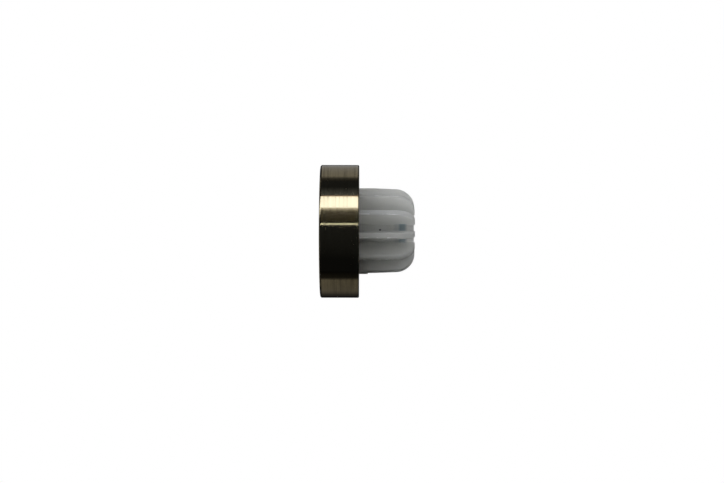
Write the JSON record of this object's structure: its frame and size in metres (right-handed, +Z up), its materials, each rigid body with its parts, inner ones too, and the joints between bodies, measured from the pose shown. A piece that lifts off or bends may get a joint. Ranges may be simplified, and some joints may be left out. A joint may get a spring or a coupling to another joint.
{
  "type": "curtain pole finial",
  "caption": "Short turned metal stud that closes the end of a curtain pole, with a finned plastic plug screwed to its back that pushes into the pole.",
  "frame": {"origin": "on the axis, in the plane where the back of the cap meets the end of the pole", "axes": "+X along the pole's axis, out of the cap and into the pole, +Z up, so the picture's view looks along +Y"},
  "size_m": [0.0289, 0.041, 0.041],
  "materials": {
    "antique_brass": "brushed round the axis, darkened and lacquered",
    "milky_plastic": "translucent moulded plastic with a soft sheen",
    "zinc_steel": "bright zinc plate"
  },
  "bodies": {
    "root": {"end_cap": "antique_brass", "pole_plug": "milky_plastic", "fixing_screw": "zinc_steel"}
  },
  "joints": []
}
